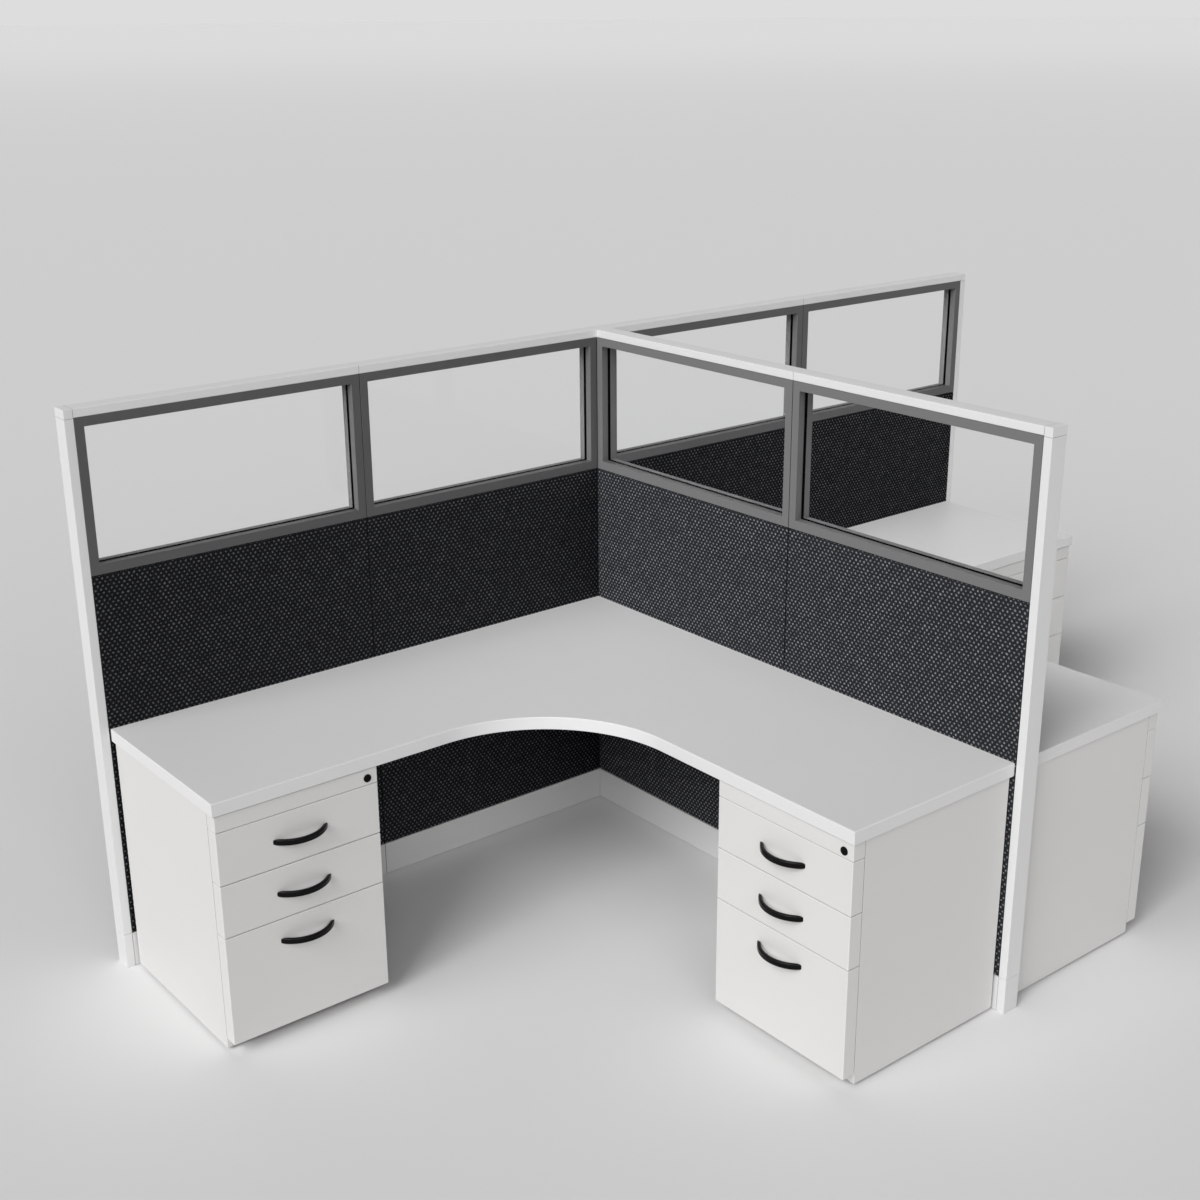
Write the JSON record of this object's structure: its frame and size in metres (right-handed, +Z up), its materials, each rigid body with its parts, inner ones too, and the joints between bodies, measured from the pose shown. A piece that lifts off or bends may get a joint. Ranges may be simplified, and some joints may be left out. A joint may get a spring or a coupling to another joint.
{
  "type": "cubicle workstation",
  "caption": "Back-to-back cubicle desk cluster: glazed fabric panels in a T, mirrored L-shaped worksurfaces, and lockable drawer pedestals under their ends.",
  "frame": {"origin": "centre of the footprint, on the floor", "axes": "+X along the spine wall from the left station to the right, +Y from the open end of the wing wall towards the spine wall, +Z up"},
  "size_m": [3.59, 1.824, 1.653],
  "materials": {
    "white_trim": "satin white powder coat",
    "white_steel": "satin white paint on sheet steel",
    "white_laminate": "white laminate on particle board, matching edge band",
    "dark_fabric": "charcoal woven panel cloth with light flecks",
    "grey_metal": "satin dark grey coating",
    "clear_glass": "clear float glass",
    "black_rubber": "matt black gasket",
    "black_plastic": "moulded black",
    "black_metal": "satin black coating",
    "frame_steel": "dark painted steel tube",
    "zinc_steel": "bright zinc plated"
  },
  "bodies": {
    "workstation": {"spine_left_panel_frames": "frame_steel", "spine_left_fabric_tiles": "dark_fabric", "spine_left_window_frames": "grey_metal", "spine_left_raceway_covers": "white_trim", "spine_left_end_post": "white_trim", "spine_right_panel_frames": "frame_steel", "spine_right_fabric_tiles": "dark_fabric", "spine_right_window_frames": "grey_metal", "spine_right_raceway_covers": "white_trim", "spine_right_end_post": "white_trim", "wing_panel_frames": "frame_steel", "wing_fabric_tiles": "dark_fabric", "wing_window_frames": "grey_metal", "wing_raceway_covers": "white_trim", "wing_end_post": "white_trim", "window_glass": "clear_glass", "window_gaskets": "black_rubber", "panel_caps": "white_trim", "junction_post": "white_trim", "post_caps": "white_trim", "worksurface_left": "white_laminate", "worksurface_right": "white_laminate", "worksurface_cleats": "frame_steel", "levelling_glides": "black_plastic", "left_spine_case": "white_steel", "left_spine_runners": "zinc_steel", "left_wing_case": "white_steel", "left_wing_runners": "zinc_steel", "right_wing_case": "white_steel", "right_wing_runners": "zinc_steel", "right_spine_case": "white_steel", "right_spine_runners": "zinc_steel"},
    "left_spine_lock": {"left_spine_lock": "black_metal"},
    "left_spine_top_drawer": {"left_spine_top_drawer": "white_steel", "left_spine_top_handle": "black_metal"},
    "left_spine_middle_drawer": {"left_spine_middle_drawer": "white_steel", "left_spine_middle_handle": "black_metal"},
    "left_spine_file_drawer": {"left_spine_file_drawer": "white_steel", "left_spine_file_handle": "black_metal"},
    "left_wing_lock": {"left_wing_lock": "black_metal"},
    "left_wing_top_drawer": {"left_wing_top_drawer": "white_steel", "left_wing_top_handle": "black_metal"},
    "left_wing_middle_drawer": {"left_wing_middle_drawer": "white_steel", "left_wing_middle_handle": "black_metal"},
    "left_wing_file_drawer": {"left_wing_file_drawer": "white_steel", "left_wing_file_handle": "black_metal"},
    "right_wing_lock": {"right_wing_lock": "black_metal"},
    "right_wing_top_drawer": {"right_wing_top_drawer": "white_steel", "right_wing_top_handle": "black_metal"},
    "right_wing_middle_drawer": {"right_wing_middle_drawer": "white_steel", "right_wing_middle_handle": "black_metal"},
    "right_wing_file_drawer": {"right_wing_file_drawer": "white_steel", "right_wing_file_handle": "black_metal"},
    "right_spine_lock": {"right_spine_lock": "black_metal"},
    "right_spine_top_drawer": {"right_spine_top_drawer": "white_steel", "right_spine_top_handle": "black_metal"},
    "right_spine_middle_drawer": {"right_spine_middle_drawer": "white_steel", "right_spine_middle_handle": "black_metal"},
    "right_spine_file_drawer": {"right_spine_file_drawer": "white_steel", "right_spine_file_handle": "black_metal"}
  },
  "joints": [
    {"name": "left_spine_lock_turn", "type": "hinge", "parent": "workstation", "child": "left_spine_lock", "pos_m": [-1.312, 0.25, 0.683], "axis": [0, -1, 0], "range_deg": [0, 90]},
    {"name": "left_spine_top_slide", "type": "slide", "parent": "workstation", "child": "left_spine_top_drawer", "axis": [0, -1, 0], "range_m": [0, 0.38]},
    {"name": "left_spine_middle_slide", "type": "slide", "parent": "workstation", "child": "left_spine_middle_drawer", "axis": [0, -1, 0], "range_m": [0, 0.38]},
    {"name": "left_spine_file_slide", "type": "slide", "parent": "workstation", "child": "left_spine_file_drawer", "axis": [0, -1, 0], "range_m": [0, 0.42]},
    {"name": "left_wing_lock_turn", "type": "hinge", "parent": "workstation", "child": "left_wing_lock", "pos_m": [-0.633, -0.846, 0.683], "axis": [-1, 0, 0], "range_deg": [0, 90]},
    {"name": "left_wing_top_slide", "type": "slide", "parent": "workstation", "child": "left_wing_top_drawer", "axis": [-1, 0, 0], "range_m": [0, 0.38]},
    {"name": "left_wing_middle_slide", "type": "slide", "parent": "workstation", "child": "left_wing_middle_drawer", "axis": [-1, 0, 0], "range_m": [0, 0.38]},
    {"name": "left_wing_file_slide", "type": "slide", "parent": "workstation", "child": "left_wing_file_drawer", "axis": [-1, 0, 0], "range_m": [0, 0.42]},
    {"name": "right_wing_lock_turn", "type": "hinge", "parent": "workstation", "child": "right_wing_lock", "pos_m": [0.633, -0.846, 0.683], "axis": [1, 0, 0], "range_deg": [-90, 0]},
    {"name": "right_wing_top_slide", "type": "slide", "parent": "workstation", "child": "right_wing_top_drawer", "axis": [1, 0, 0], "range_m": [0, 0.38]},
    {"name": "right_wing_middle_slide", "type": "slide", "parent": "workstation", "child": "right_wing_middle_drawer", "axis": [1, 0, 0], "range_m": [0, 0.38]},
    {"name": "right_wing_file_slide", "type": "slide", "parent": "workstation", "child": "right_wing_file_drawer", "axis": [1, 0, 0], "range_m": [0, 0.42]},
    {"name": "right_spine_lock_turn", "type": "hinge", "parent": "workstation", "child": "right_spine_lock", "pos_m": [1.312, 0.25, 0.683], "axis": [0, -1, 0], "range_deg": [-90, 0]},
    {"name": "right_spine_top_slide", "type": "slide", "parent": "workstation", "child": "right_spine_top_drawer", "axis": [0, -1, 0], "range_m": [0, 0.38]},
    {"name": "right_spine_middle_slide", "type": "slide", "parent": "workstation", "child": "right_spine_middle_drawer", "axis": [0, -1, 0], "range_m": [0, 0.38]},
    {"name": "right_spine_file_slide", "type": "slide", "parent": "workstation", "child": "right_spine_file_drawer", "axis": [0, -1, 0], "range_m": [0, 0.42]}
  ]
}
